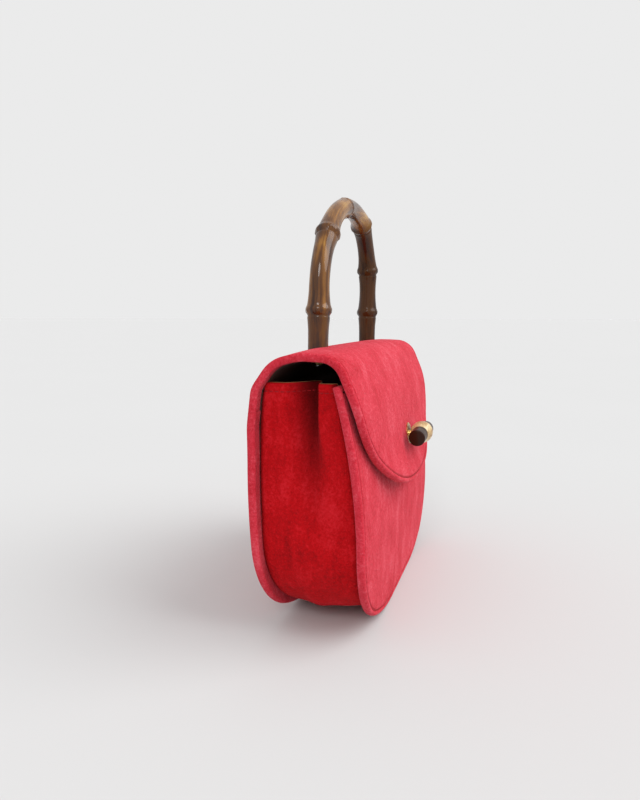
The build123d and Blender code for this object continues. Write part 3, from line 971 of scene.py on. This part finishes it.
# %% The toggle's shape
low_toggle, high_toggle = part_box("lock_toggle")
toggle_middle = [(a + b) / 2 for a, b in zip(low_toggle, high_toggle)]
toggle_half = (high_toggle[0] - low_toggle[0]) / 2
toggle_places = np.unique(np.concatenate([
    np.linspace(-toggle_half, toggle_half, 90), toggle_half - np.array([0.0, 0.1, 0.3, 0.6]) * mm,
    -toggle_half + np.array([0.0, 0.1, 0.3, 0.6]) * mm]))
bow = (toggle_places / toggle_half) ** 2
toggle_path = np.stack([
    toggle_middle[0] + toggle_places, toggle_middle[1] + (0.25 * bow - 0.5) * mm,
    toggle_middle[2] - 0.9 * bow * mm], axis=1)
off_middle = np.abs(toggle_places)
cut = np.sqrt(np.clip(1 - (1 - np.clip((toggle_half - off_middle) / (0.7 * mm), 0, 1)) ** 2, 0, 1))
toggle_radius = 4.75 * mm
toggle_radii = toggle_radius + np.exp(-(off_middle / (6.0 * mm)) ** 2) * 2.3 * mm
toggle_radii += smooth(off_middle, 9 * mm, 17 * mm) * 0.4 * mm - 0.7 * mm * (1 - cut)
toggle_radii += np.exp(-((off_middle - 7.2 * mm) / (0.5 * mm)) ** 2) * 0.35 * mm
toggle_scorches = 1.2 * smooth(off_middle, 6.9 * mm, 9.2 * mm)
toggle_stations = Line(toggle_path).run
print("toggle up to", round(toggle_radii.max() * 2 / mm, 1), "mm thick")

# %% Toggle
def toggle_buds(station, angle):
    """A ring of root buds on either side of the toggle's joint."""
    away = np.abs(station - toggle_stations[-1] / 2)
    ring = np.exp(-((away - 3.6 * mm) / (0.7 * mm)) ** 2)
    return ring * np.clip(np.cos(angle * 9), 0, 1) ** 2 * 0.3 * mm


toggle_bamboo = cane(
    "toggle_bamboo", toggle_path, toggle_stations, toggle_radii, toggle_scorches, toggle_buds,
    pale_bamboo, sides=48)
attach(toggle_bamboo, "turnlock")
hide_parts("lock_toggle")

# %% [markdown]
# ## Metal and board pieces
# The lock, the rivets, the nuts and the steel bar keep their exact shapes and only need their finish.

# %% Finish for the exact pieces
finishes = {
    brass: ["catch_plate", "catch_backplate", "catch_rivets", "handle_washers", "handle_nuts", "lock_bush",
            "lock_washer", "lock_cam", "lock_screw", "lock_spindle"],
    steel: ["crown_bar", "handle_studs"],
    board: ["back_board", "base_board", "front_board", "flap_board"],
}
for finish, names in finishes.items():
    for name in names:
        nodes_of_cad[name].data.materials.clear()
        nodes_of_cad[name].data.materials.append(finish)
print("exact pieces finished:", sum(len(names) for names in finishes.values()))

# %% [markdown]
# ## Camera, floor and light
# A pale floor under an even white room, with one broad soft light high in front, and a weaker, narrower
# one from the bag's left end that gives the bamboo its gloss.  The floor's tone is set so that it meets the
# room's without a line.  The camera stands beyond the same end, a little above the bag, and looks along it,
# so the near gusset, the front and the flap all show.

# %% Camera
def look(name, eye, yaw, pitch, lens):
    data = bpy.data.cameras.new(name)
    data.lens = lens
    data.sensor_width = 36
    data.clip_start = 0.01
    camera = bpy.data.objects.new(name, data)
    bpy.context.scene.collection.objects.link(camera)
    yaw, pitch = math.radians(yaw), math.radians(pitch)
    level = math.cos(pitch)
    ahead = Vector((math.cos(yaw) * level, math.sin(yaw) * level, -math.sin(pitch)))
    camera.location = eye
    camera.rotation_euler = ahead.to_track_quat("-Z", "Y").to_euler()
    bpy.context.scene.camera = camera


look("camera", (-0.4151, -0.1023, 0.1753), yaw=17.54, pitch=7.36, lens=29.24)
print("camera ready")

# %% Floor
reach = 40
floor_corners = [(-reach, -reach, 0), (reach, -reach, 0), (reach, reach, 0), (-reach, reach, 0)]
floor_mesh = bpy.data.meshes.new("floor")
floor_mesh.from_pydata(floor_corners, [], [(0, 1, 2, 3)])
floor = bpy.data.objects.new("floor", floor_mesh)
bpy.context.scene.collection.objects.link(floor)
floor_paint = Shader("floor_paint", Specular_IOR_Level=0.1)
floor_grain = floor_paint.noise(floor_paint.place(), 3, detail=1)
floor_mesh.materials.append(floor_paint.feed(
    Base_Color=floor_paint.mix(floor_grain, (0.580, 0.580, 0.580), (0.590, 0.590, 0.590)),
    Roughness=0.85 + floor_grain * 0.1,
))
print("floor is", 2 * reach, "m square")

# %% Light
def soft_sun(name, towards, strength, spread):
    """Even daylight that travels in one direction; spread is its width in degrees."""
    data = bpy.data.lights.new(name, "SUN")
    data.energy = strength
    data.angle = math.radians(spread)
    light = bpy.data.objects.new(name, data)
    bpy.context.scene.collection.objects.link(light)
    light.rotation_euler = Vector(towards).to_track_quat("-Z", "Y").to_euler()


world = bpy.data.worlds.new("studio")
world.use_nodes = True
background = world.node_tree.nodes["Background"]
background.inputs["Color"].default_value = (1, 1, 1, 1)
background.inputs["Strength"].default_value = 0.83
bpy.context.scene.world = world
soft_sun("key", (-0.10, 0.72, -0.68), 2.0, 50)
soft_sun("gloss", (0.80, 0.10, -0.59), 0.7, 18)
bpy.context.scene.view_settings.view_transform = "Standard"
print("lights ready")
